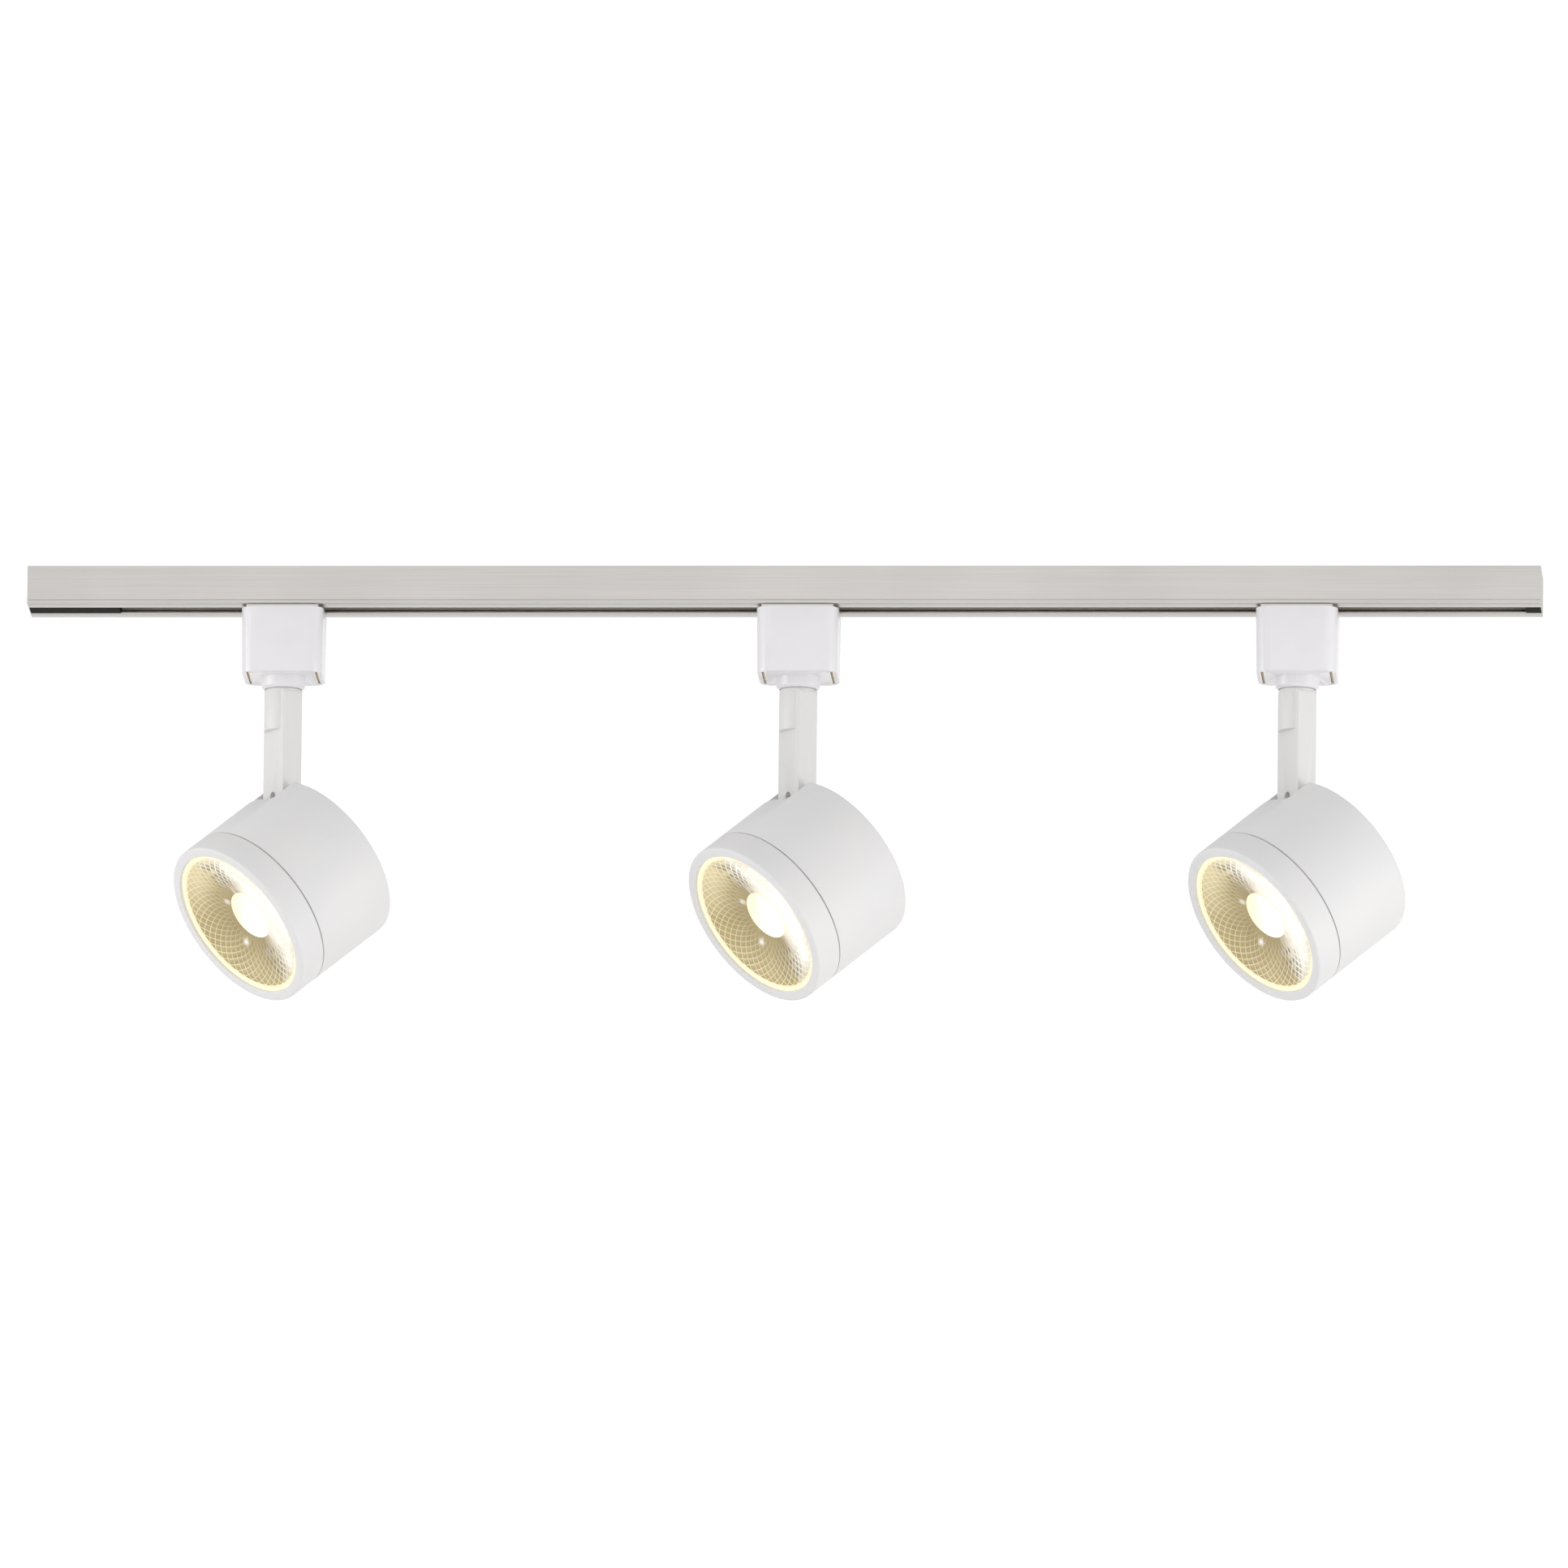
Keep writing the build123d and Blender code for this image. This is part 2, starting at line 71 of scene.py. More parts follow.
class Wire:
    # A node's output, with arithmetic. Each operator adds one Math node.
    def __init__(self, nodes, socket):
        self.nodes = nodes
        self.socket = socket

    def math(self, operation, first, *rest):
        values = dict(enumerate((first, *rest)))
        return self.nodes.out("ShaderNodeMath", {"operation": operation}, values)

    def __add__(self, other):
        return self.math("ADD", self, other)

    def __radd__(self, other):
        return self.math("ADD", other, self)

    def __sub__(self, other):
        return self.math("SUBTRACT", self, other)

    def __rsub__(self, other):
        return self.math("SUBTRACT", other, self)

    def __mul__(self, other):
        return self.math("MULTIPLY", self, other)

    def __rmul__(self, other):
        return self.math("MULTIPLY", other, self)

    def __truediv__(self, other):
        return self.math("DIVIDE", self, other)

    def __pow__(self, other):
        return self.math("POWER", self, other)

    def __abs__(self):
        return self.math("ABSOLUTE", self)

    def sine(self):
        return self.math("SINE", self)

    def cosine(self):
        return self.math("COSINE", self)

    def least(self, other):
        return self.math("MINIMUM", self, other)

    def most(self, other):
        return self.math("MAXIMUM", self, other)

    def floor(self):
        return self.math("FLOOR", self)

    def modulo(self, other):
        return self.math("MODULO", self, other)

    def between(self, low, high):
        # 0 at low, 1 at high, held outside.
        values = {"Value": self, "From Min": low, "From Max": high}
        return self.nodes.out("ShaderNodeMapRange", {"clamp": True}, values, "Result")


class Nodes:
    # Adds nodes to one tree.
    def __init__(self, tree):
        self.tree = tree

    def add(self, kind, settings=None, values=None):
        made = self.tree.nodes.new(kind)
        for name, value in (settings or {}).items():
            setattr(made, name, value)
        for name, value in (values or {}).items():
            socket = made.inputs[name]
            if isinstance(value, Wire):
                self.tree.links.new(value.socket, socket)
            elif isinstance(value, bpy.types.Node):
                self.tree.links.new(value.outputs[0], socket)
            else:
                socket.default_value = value
        return made

    def out(self, kind, settings=None, values=None, output=0):
        return Wire(self, self.add(kind, settings, values).outputs[output])

    def mixColour(self, share, first, second):
        made = self.add("ShaderNodeMix", {"data_type": "RGBA"})
        for index, value in ((0, share), (6, first), (7, second)):
            if isinstance(value, Wire):
                self.tree.links.new(value.socket, made.inputs[index])
            else:
                made.inputs[index].default_value = value if index == 0 else (*value, 1.0)
        return Wire(self, made.outputs[2])

    def scaled(self, vector, factors):
        values = {0: vector, 1: factors}
        return self.out("ShaderNodeVectorMath", {"operation": "MULTIPLY"}, values)

    def objectPoint(self):
        return self.out("ShaderNodeTexCoord", output="Object")

    def position(self):
        return self.split(self.out("GeometryNodeInputPosition"))

    def split(self, vector):
        # A vector's three parts.
        parts = self.add("ShaderNodeSeparateXYZ", values={0: vector})
        return [Wire(self, part) for part in parts.outputs]

    def joined(self, x, y=0.0, z=0.0):
        return self.out("ShaderNodeCombineXYZ", values={0: x, 1: y, 2: z})

    def stored(self, geometry, name, value, domain="POINT"):
        settings = {"data_type": "FLOAT", "domain": domain}
        values = {"Geometry": geometry, "Name": name, "Value": value}
        return self.out("GeometryNodeStoreNamedAttribute", settings, values)

    def named(self, name):
        settings = {"data_type": "FLOAT"}
        return self.out("GeometryNodeInputNamedAttribute", settings, {"Name": name})

    def moved(self, geometry, place):
        values = {"Geometry": geometry, "Position": place}
        return self.out("GeometryNodeSetPosition", values=values)

    def noise(self, vector, scale, detail=2.0, roughness=0.5):
        values = {"Vector": vector, "Scale": scale, "Detail": detail, "Roughness": roughness}
        return self.out("ShaderNodeTexNoise", values=values)

    def attribute(self, name):
        return self.out("ShaderNodeAttribute", {"attribute_name": name}, output="Fac")

    def bump(self, height, strength, distance):
        values = {"Height": height, "Strength": strength, "Distance": distance}
        return self.out("ShaderNodeBump", values=values)


def newFinish(name, fixed, varying):
    # A material: fixed values on the shader's own sockets, and a function for what varies.
    material = bpy.data.materials.new(name)
    material.use_nodes = True
    tree = material.node_tree
    tree.nodes.clear()
    nodes = Nodes(tree)
    shader = nodes.add("ShaderNodeBsdfPrincipled", values=fixed)
    for socket, value in varying(nodes).items():
        tree.links.new(value.socket, shader.inputs[socket])
    nodes.add("ShaderNodeOutputMaterial", values={"Surface": shader})
    return material


# Finishes

def makeNickel():
    look = {
        "dark": (0.61, 0.59, 0.565),
        "light": (0.74, 0.715, 0.69),
        "linesPerMetre": 2600.0,
        "lineStretch": 0.006,
        "roughness": 0.27,
    }

    def varying(nodes):
        stretch = (look["lineStretch"], 1.0, 1.0)
        point = nodes.objectPoint()
        lines = nodes.noise(nodes.scaled(point, stretch), look["linesPerMetre"], 3.0, 0.6)
        cloud = nodes.noise(point, 14.0)
        tone = lines.between(0.3, 0.7) * 0.6 + cloud.between(0.3, 0.7) * 0.4
        return {
            "Base Color": nodes.mixColour(tone, look["dark"], look["light"]),
            "Roughness": look["roughness"] + lines * 0.16,
            "Normal": nodes.bump(lines, 0.12, 0.0002),
        }

    return newFinish("satinNickel", {"Metallic": 1.0}, varying)


def makeGlossWhite():
    look = {"cool": (0.81, 0.795, 0.825), "warm": (0.85, 0.835, 0.85), "roughness": 0.16}

    def varying(nodes):
        point = nodes.objectPoint()
        cloud = nodes.noise(point, 45.0)
        flow = nodes.noise(point, 180.0)
        return {
            "Base Color": nodes.mixColour(cloud.between(0.3, 0.7), look["cool"], look["warm"]),
            "Roughness": look["roughness"] + nodes.noise(point, 900.0, 3.0) * 0.1,
            "Normal": nodes.bump(flow, 0.06, 0.0006),
        }

    return newFinish("glossWhite", {"IOR": 1.49, "Specular IOR Level": 0.5}, varying)


def makePaint(name, cool, warm, roughness, grain, depth, strength):
    # Sprayed paint: grain is the size of its peel, in metres.
    def varying(nodes):
        point = nodes.objectPoint()
        cloud = nodes.noise(point, 24.0)
        peel = nodes.noise(point, 1.0 / grain, 2.5, 0.55)
        fine = nodes.noise(point, 4.0 / grain, 2.0)
        height = peel * 0.8 + fine * 0.2
        return {
            "Base Color": nodes.mixColour(cloud.between(0.25, 0.75), cool, warm),
            "Roughness": roughness + fine * 0.14,
            "Normal": nodes.bump(height, strength, depth),
        }

    return newFinish(name, {"IOR": 1.48}, varying)


def makeMetal(name, dark, light, roughness, scale):
    def varying(nodes):
        point = nodes.objectPoint()
        patina = nodes.noise(point, scale, 4.0, 0.6)
        scratches = nodes.noise(nodes.scaled(point, (1.0, 0.08, 1.0)), scale * 12, 2.0)
        return {
            "Base Color": nodes.mixColour(patina.between(0.3, 0.7), dark, light),
            "Roughness": roughness + scratches * 0.2,
            "Normal": nodes.bump(scratches, 0.1, 0.0001),
        }

    return newFinish(name, {"Metallic": 1.0}, varying)


def makePlastic(name, dark, light, roughness):
    def varying(nodes):
        point = nodes.objectPoint()
        cloud = nodes.noise(point, 60.0)
        texture = nodes.noise(point, 2000.0, 3.0)
        return {
            "Base Color": nodes.mixColour(cloud, dark, light),
            "Roughness": roughness + texture * 0.15,
            "Normal": nodes.bump(texture, 0.15, 0.0001),
        }

    return newFinish(name, {"IOR": 1.5}, varying)


def makePlug():
    # Black plastic, with an end face plated like the track. Face is its distance from the middle.
    look = {"black": (0.014, 0.013, 0.010), "plated": (0.68, 0.655, 0.63), "face": 0.3746}

    def varying(nodes):
        point = nodes.objectPoint()
        distance = abs(nodes.split(point)[0])
        plated = distance.between(look["face"], look["face"] + 0.0002)
        return {
            "Base Color": nodes.mixColour(plated, look["black"], look["plated"]),
            "Metallic": plated,
            "Roughness": 0.4 + nodes.noise(point, 700.0) * 0.2,
        }

    return newFinish("endPlugPlastic", {"IOR": 1.12, "Specular IOR Level": 0.15}, varying)


def makePhosphor():
    look = {"edge": (0.95, 0.72, 0.2), "middle": (1.0, 0.86, 0.4)}

    def varying(nodes):
        grain = nodes.noise(nodes.objectPoint(), 3500.0)
        tone = nodes.mixColour(grain, look["edge"], look["middle"])
        return {"Base Color": tone, "Emission Color": tone, "Roughness": 0.5 + grain * 0.2}

    return newFinish("phosphor", {"Emission Strength": 1.5}, varying)


def makeLensFlange():
    look = {
        "rim": (0.80, 0.65, 0.34),
        "pale": (0.98, 0.84, 0.52),
        "line": (1.0, 0.95, 0.80),
        "unlitDark": (0.18, 0.16, 0.10),
        "unlitLight": (0.24, 0.22, 0.15),
        "rings": 12.6,
    }

    def varying(nodes):
        # The flange's glow is painted: its colour goes out as emission, standing in for the LED's light coming
        # through the lens, with painted bright rings, over a dim base colour.
        across = nodes.attribute("across")
        rings = (across * look["rings"] + 1.2).sine() * 0.5 + 0.5
        cloud = nodes.noise(nodes.objectPoint(), 60.0)
        body = nodes.mixColour(across.between(1.0, 0.55), look["rim"], look["pale"])
        glow = nodes.mixColour(rings.between(0.5, 0.95) * 0.85, body, look["line"])
        return {
            "Base Color": nodes.mixColour(cloud, look["unlitDark"], look["unlitLight"]),
            "Emission Color": glow,
            "Roughness": 0.2 + rings * 0.1,
        }

    return newFinish("lensFlange", {"Emission Strength": 1.0, "IOR": 1.49}, varying)


def makeLensFacets():
    # The lens's glow is painted: the facets' colour goes out as emission, standing in for the LED's light coming
    # through the lens, over a dim base colour.
    look = {
        "shade": (0.28, 0.215, 0.105),
        "khaki": (0.36, 0.285, 0.14),
        "light": (0.50, 0.405, 0.215),
        # Painted light on the upper side of the bowl.
        "high": (0.80, 0.70, 0.44),
        "line": (0.92, 0.79, 0.47),
        # Painted shade on single facets along the glare's edge.
        "dashShade": (0.20, 0.165, 0.12),
        # The painted glare, and the painted shade patches inside it.
        "glare": (1.0, 0.99, 0.93),
        "glareShade": (0.80, 0.71, 0.60),
        "unlitBody": (0.10, 0.085, 0.05),
        "unlitLine": (0.20, 0.18, 0.12),
        "emission": 0.92,
    }

    def varying(nodes):
        edge = nodes.attribute("facetEdge")
        outward = nodes.attribute("outward")
        facing = nodes.attribute("facing")
        above = nodes.attribute("above")
        glint = nodes.attribute("glint")
        tint = nodes.attribute("facetTint")
        point = nodes.objectPoint()
        # The facets' edges, as a net of painted bright lines that brightens towards the rim.
        line = edge.between(0.17, 0.04) * (0.12 + outward * 0.85)
        cloud = nodes.noise(point, 55.0)
        # Painted light: the facets are painted brighter towards the rim, over random tone from each facet's tint
        # and a cloud.
        tone = outward * 0.50 + tint * 0.16 + cloud.between(0.25, 0.75) * 0.42 - 0.12
        body = nodes.mixColour(tone.between(0.0, 0.35), look["shade"], look["khaki"])
        body = nodes.mixColour(tone.between(0.35, 1.0), body, look["light"])
        # Painted light: the upper side of the bowl's outer rows is painted lighter.
        high = above.between(0.3, 0.9) * outward.between(0.35, 0.75) * 0.75
        body = nodes.mixColour(high, body, look["high"])
        netted = nodes.mixColour(line, body, look["line"])
        # Painted glare: the side towards the glare angle is painted washed-out white, with painted pinkish shade
        # patches in it near the hub and in scattered spots.
        ragged = facing + (tint - 0.5) * 0.35 + (nodes.noise(point, 40.0, 1.0) - 0.5) * 0.8
        glare = ragged.between(-0.1, 0.4) * outward.between(1.3, 0.8)
        glareShade = facing.between(0.85, 0.35) * outward.between(0.65, 0.15)
        glareShade = glareShade.most(nodes.noise(point, 70.0, 1.0).between(0.52, 0.62) * 0.6)
        wash = nodes.mixColour(glareShade * 0.8, look["glare"], look["glareShade"])
        washed = nodes.mixColour(glare, netted, wash)
        # Painted shade: dark dashes, one to a facet, along the verge of the glare.
        verge = facing.between(-0.42, -0.05) * facing.between(0.55, 0.2)
        verge = verge * outward.between(0.08, 0.25) * outward.between(1.0, 0.8)
        dashShade = verge * tint.between(0.28, 0.38) * edge.between(0.12, 0.4)
        washed = nodes.mixColour(dashShade * 0.9, washed, look["dashShade"])
        return {
            "Base Color": nodes.mixColour(line, look["unlitBody"], look["unlitLine"]),
            # The painted glints go out as bright emission.
            "Emission Color": nodes.mixColour(glint, washed, look["glare"]),
            "Roughness": 0.12 + tint * 0.12,
        }

    fixed = {"Emission Strength": look["emission"], "IOR": 1.49}
    return newFinish("lensFacets", fixed, varying)


def makeLensHub():
    look = {
        "cream": (1.0, 0.84, 0.55),
        "white": (1.0, 0.95, 0.81),
        "line": (0.88, 0.70, 0.34),
        "unlitDark": (0.22, 0.21, 0.16),
        "unlitLight": (0.28, 0.27, 0.23),
    }

    def varying(nodes):
        # The hub's glow is painted: its colour goes out as emission, standing in for the LED's light coming
        # through the lens, near white, with its upper-left painted creamier and showing its grid lines.
        edge = nodes.attribute("facetEdge")
        cloud = nodes.noise(nodes.objectPoint(), 75.0, 1.0)
        corner = nodes.attribute("corner") + (cloud - 0.5) * 0.8
        tone = nodes.mixColour(corner.between(0.0, 0.75), look["white"], look["cream"])
        grid = edge.between(0.3, 0.05) * corner.between(-0.1, 0.5) * 0.7
        netted = nodes.mixColour(grid, tone, look["line"])
        return {
            "Base Color": nodes.mixColour(cloud, look["unlitDark"], look["unlitLight"]),
            "Emission Color": netted,
            "Roughness": 0.15 + cloud * 0.1,
        }

    return newFinish("lensHub", {"Emission Strength": 1.1, "IOR": 1.49}, varying)


def makeLensBody():
    look = {
        "clear": (0.80, 0.68, 0.40),
        "lit": (0.98, 0.90, 0.62),
        "unlitDark": (0.20, 0.18, 0.12),
        "unlitLight": (0.30, 0.28, 0.20),
    }

    def varying(nodes):
        # The lens body's glow is painted: its colour goes out as emission, standing in for the LED's light coming
        # through the lens, over a dim base colour.
        cloud = nodes.noise(nodes.objectPoint(), 90.0)
        return {
            "Base Color": nodes.mixColour(cloud, look["unlitDark"], look["unlitLight"]),
            "Emission Color": nodes.mixColour(cloud, look["clear"], look["lit"]),
            "Roughness": 0.08 + cloud * 0.1,
        }

    return newFinish("lensBody", {"Emission Strength": 0.9, "IOR": 1.49}, varying)


finishes = {
    "endPlug": makePlug(),
    "nickel": makeNickel(),
    "glossWhite": makeGlossWhite(),
    "headPaint": makePaint(
        "headPaint", (0.775, 0.765, 0.775), (0.80, 0.79, 0.785), 0.48, 0.0006, 0.0002, 0.12
    ),
    "stemPaint": makePaint(
        "stemPaint", (0.775, 0.77, 0.765), (0.805, 0.795, 0.775), 0.34, 0.0013, 0.0004, 0.22
    ),
    "brass": makeMetal("stampedBrass", (0.42, 0.27, 0.09), (0.66, 0.47, 0.20), 0.28, 90.0),
    "copper": makeMetal("contactCopper", (0.60, 0.30, 0.16), (0.80, 0.45, 0.28), 0.22, 70.0),
    "steel": makeMetal("zincSteel", (0.46, 0.46, 0.45), (0.62, 0.62, 0.60), 0.30, 120.0),
    "aluminium": makeMetal("bareAluminium", (0.62, 0.62, 0.63), (0.76, 0.76, 0.77), 0.32, 60.0),
    "black": makePlastic("blackPlastic", (0.022, 0.022, 0.023), (0.04, 0.04, 0.041), 0.42),
    "insulator": makePlastic("insulatorPlastic", (0.72, 0.69, 0.62), (0.78, 0.75, 0.68), 0.5),
    "nylon": makePlastic("naturalNylon", (0.66, 0.64, 0.58), (0.74, 0.72, 0.67), 0.4),
    "sleeve": makePlastic("leadSleeve", (0.70, 0.69, 0.66), (0.78, 0.77, 0.74), 0.35),
    "board": makePlastic("boardMask", (0.76, 0.76, 0.74), (0.82, 0.82, 0.80), 0.3),
    "phosphor": makePhosphor(),
    "lensFlange": makeLensFlange(),
    "lensFacets": makeLensFacets(),
    "lensHub": makeLensHub(),
    "lensBody": makeLensBody(),
}
print("finishes made:", len(finishes))


# Places, from the joints

def pivotBasis(side):
    # X towards the lens, Y along the pivot.
    across = Vector(joints[f"{side}_tilt"]["axis"]).normalized()
    up = Vector((0, 0, 1))
    return Matrix((across.cross(up), across, up)).transposed().to_4x4()


def headPlace(side):
    tilt = joints[f"{side}_tilt"]
    level = math.radians(-tilt["range_deg"][0])
    turn = pivotBasis(side) @ Matrix.Rotation(level, 4, "Y")
    return Matrix.Translation(tilt["pos_m"]) @ turn @ Matrix.Scale(mm, 4)


# Mesh helpers

def newObject(name, mesh):
    made = bpy.data.objects.new(name, mesh)
    bpy.context.scene.collection.objects.link(made)
    return made


def plainMesh(carrier):
    # What the carrier's modifiers make, as a plain mesh. The carrier is removed.
    bpy.context.view_layer.update()
    graph = bpy.context.evaluated_depsgraph_get()
    mesh = bpy.data.meshes.new_from_object(
        carrier.evaluated_get(graph), preserve_all_data_layers=True, depsgraph=graph
    )
    bpy.data.objects.remove(carrier)
    return mesh


def shade(mesh, angle=32.0):
    mesh.shade_smooth()
    mesh.set_sharp_from_angle(angle=math.radians(angle))
    return mesh


def standPiece(name, mesh, body, nodes=(), place=None):
    # A finished piece: its own copy of the mesh, in its place, riding on its body.
    copy = mesh.copy()
    if place is not None:
        copy.transform(place)
    piece = newObject(name, copy)
    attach(piece, body)
    if nodes:
        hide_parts(*nodes)
    return piece


def softened(node, width):
    # A welded copy of a CAD node with its edges eased, as moulding, plating or paint leaves them.
    mesh = frame["nodes"][node].data.copy()
    shape = bmesh.new()
    shape.from_mesh(mesh)
    bmesh.ops.remove_doubles(shape, verts=shape.verts, dist=1e-6)
    bmesh.ops.dissolve_limit(
        shape, angle_limit=math.radians(0.5), verts=shape.verts, edges=shape.edges
    )
    shape.to_mesh(mesh)
    shape.free()
    mesh.materials.clear()
    carrier = newObject("carrier", mesh)
    bevel = carrier.modifiers.new("ease", "BEVEL")
    bevel.width = width
    bevel.segments = 2
    bevel.limit_method = "ANGLE"
    bevel.angle_limit = math.radians(30.0)
    bevel.miter_outer = "MITER_ARC"
    return shade(plainMesh(carrier))


def rounded(outline, steps):
    # An outline of (corner, radius) pairs, with each corner turned into an arc of its radius.
    corners = [corner for corner, radius in outline]
    points = []
    for index, (corner, radius) in enumerate(outline):
        here = Vector(corner)
        if not radius:
            points.append(here)
            continue
        back = (Vector(corners[index - 1]) - here).normalized()
        ahead = (Vector(corners[(index + 1) % len(corners)]) - here).normalized()
        half = back.angle(ahead) / 2
        centre = here + (back + ahead).normalized() * (radius / math.sin(half))
        start = here + back * (radius / math.tan(half)) - centre
        end = here + ahead * (radius / math.tan(half)) - centre
        sweep = math.pi - 2 * half
        for step in range(steps + 1):
            share = step / steps
            arm = start * math.sin((1 - share) * sweep) + end * math.sin(share * sweep)
            points.append(centre + arm / math.sin(sweep))
    return points


def turnedMesh(outline, axisHeight, steps, finish, marks=None):
    # A closed outline of (forward, radius) points turned about the head's own axis.
    shape = bmesh.new()
    layer = shape.verts.layers.float.new("across") if marks else None
    rings = []
    for step in range(steps):
        angle = 2 * math.pi * step / steps
        ring = []
        for index, (forward, radius) in enumerate(outline):
            height = axisHeight + radius * math.sin(angle)
            vert = shape.verts.new((forward, radius * math.cos(angle), height))
            if layer:
                vert[layer] = marks[index]
            ring.append(vert)
        rings.append(ring)
    for step, ring in enumerate(rings):
        after = rings[(step + 1) % steps]
        for index in range(len(outline)):
            follow = (index + 1) % len(outline)
            shape.faces.new((ring[index], ring[follow], after[follow], after[index]))
    bmesh.ops.remove_doubles(shape, verts=shape.verts, dist=1e-5)
    bmesh.ops.recalc_face_normals(shape, faces=shape.faces)
    mesh = bpy.data.meshes.new("turned")
    shape.to_mesh(mesh)
    shape.free()
    mesh.materials.append(finish)
    return shade(mesh)


# Geometry Nodes helpers

def newTree(name, inputs):
    tree = bpy.data.node_groups.new(name, "GeometryNodeTree")
    tree.interface.new_socket("Geometry", in_out="OUTPUT", socket_type="NodeSocketGeometry")
    for label, kind in inputs.items():
        tree.interface.new_socket(label, in_out="INPUT", socket_type=f"NodeSocket{kind}")
    nodes = Nodes(tree)
    source = nodes.add("NodeGroupInput")
    return nodes, {label: Wire(nodes, source.outputs[label]) for label in inputs}


def endTree(nodes, geometry, material):
    whole = nodes.out("GeometryNodeRealizeInstances", values={"Geometry": geometry})
    values = {"Geometry": whole, "Material": material}
    painted = nodes.out("GeometryNodeSetMaterial", values=values)
    nodes.add("NodeGroupOutput", values={"Geometry": painted})
    return nodes.tree


def growMesh(tree, values):
    carrier = newObject("carrier", bpy.data.meshes.new("carrier"))
    modifier = carrier.modifiers.new("grow", "NODES")
    modifier.node_group = tree
    for item in tree.interface.items_tree:
        if item.in_out == "INPUT":
            modifier[item.identifier] = values[item.name]
    return plainMesh(carrier)


def facetTile(nodes, halfWidth):
    # A pillow over a diamond, with how far each point stands from the diamond's edge.
    circle = nodes.out(
        "GeometryNodeMeshCircle", {"fill_type": "TRIANGLE_FAN"}, {"Vertices": 4, "Radius": 1.0}
    )
    fine = nodes.out("GeometryNodeSubdivideMesh", values={"Mesh": circle, "Level": 1})
    x, y = nodes.position()[:2]
    marked = nodes.stored(fine, "facetEdge", 1.0 - (abs(x) + abs(y)))
    values = {"Geometry": marked, "Scale": (halfWidth, 1.0, 1.0)}
    return nodes.out("GeometryNodeTransform", values=values)


# Track rail: a rolled section swept along the track

railSizes = {
    "outerRadius": 0.6,
    "backRadius": 0.36,
    "innerRadius": 0.35,
    "grooveRise": 1.7,
    "grooveHeight": 0.35,
    "grooveDepth": 0.15,
    "grooveMouth": 0.15,
    "grooveFloor": 0.1,
    "sideWall": 1.6,
    "topWall": 1.8,
    "lip": 1.0,
    "mouth": 14.0,
    "runs": 31,
    "holeSteps": 48,
}


def railOutline(width, height):
    # One half from the back edge down to the lip and up inside, then the other half.
    size = railSizes
    half, inner = width / 2, width / 2 - size["sideWall"]
    mouth = size["mouth"] / 2
    lipTop = size["lip"] - height
    grooveLow = size["grooveRise"] - height
    grooveHigh = grooveLow + size["grooveHeight"]
    grooveBack = half - size["grooveDepth"]
    soft = size["innerRadius"]
    rightHalf = [
        ((half, 0.0), size["backRadius"]),
        ((half, grooveHigh), size["grooveMouth"]),
        ((grooveBack, grooveHigh), size["grooveFloor"]),
        ((grooveBack, grooveLow), size["grooveFloor"]),
        ((half, grooveLow), size["grooveMouth"]),
        ((half, -height), size["outerRadius"]),
        ((mouth, -height), soft),
        ((mouth, lipTop), soft),
        ((inner, lipTop), soft),
        ((inner, -size["topWall"]), soft),
    ]
    leftHalf = [((-x, z), radius) for (x, z), radius in reversed(rightHalf)]
    return rounded(rightHalf + leftHalf, 4)


def sweepTree():
    inputs = {"Section": "Object", "Length": "Float", "Runs": "Int", "Material": "Material"}
    nodes, given = newTree("railSweep", inputs)
    start, end = nodes.joined(given["Length"] * -0.5), nodes.joined(given["Length"] * 0.5)
    line = nodes.out("GeometryNodeCurvePrimitiveLine", values={"Start": start, "End": end})
    values = {"Curve": line, "Count": given["Runs"]}
    path = nodes.out("GeometryNodeResampleCurve", values=values)
    values = {"Object": given["Section"]}
    shape = nodes.out("GeometryNodeObjectInfo", values=values, output="Geometry")
    values = {"Curve": path, "Profile Curve": shape, "Fill Caps": True}
    swept = nodes.out("GeometryNodeCurveToMesh", values=values)
    return endTree(nodes, swept, given["Material"])


def sweptRail(length, width, height):
    outline = railOutline(width, height)
    profile = bpy.data.curves.new("railSection", "CURVE")
    spline = profile.splines.new("POLY")
    spline.points.add(len(outline) - 1)
    for point, (across, up) in zip(spline.points, outline):
        point.co = (across, up, 0.0, 1.0)
    spline.use_cyclic_u = True
    section = newObject("railSection", profile)
    values = {"Section": section, "Length": length, "Runs": railSizes["runs"]}
    mesh = growMesh(sweepTree(), {**values, "Material": finishes["nickel"]})
    bpy.data.objects.remove(section)
    lowest = min(vert.co.z for vert in mesh.vertices)
    if lowest > -height / 2:  # the section came out lying over: stand it upright
        mesh.transform(Matrix.Rotation(math.pi, 4, "X"))
    return mesh


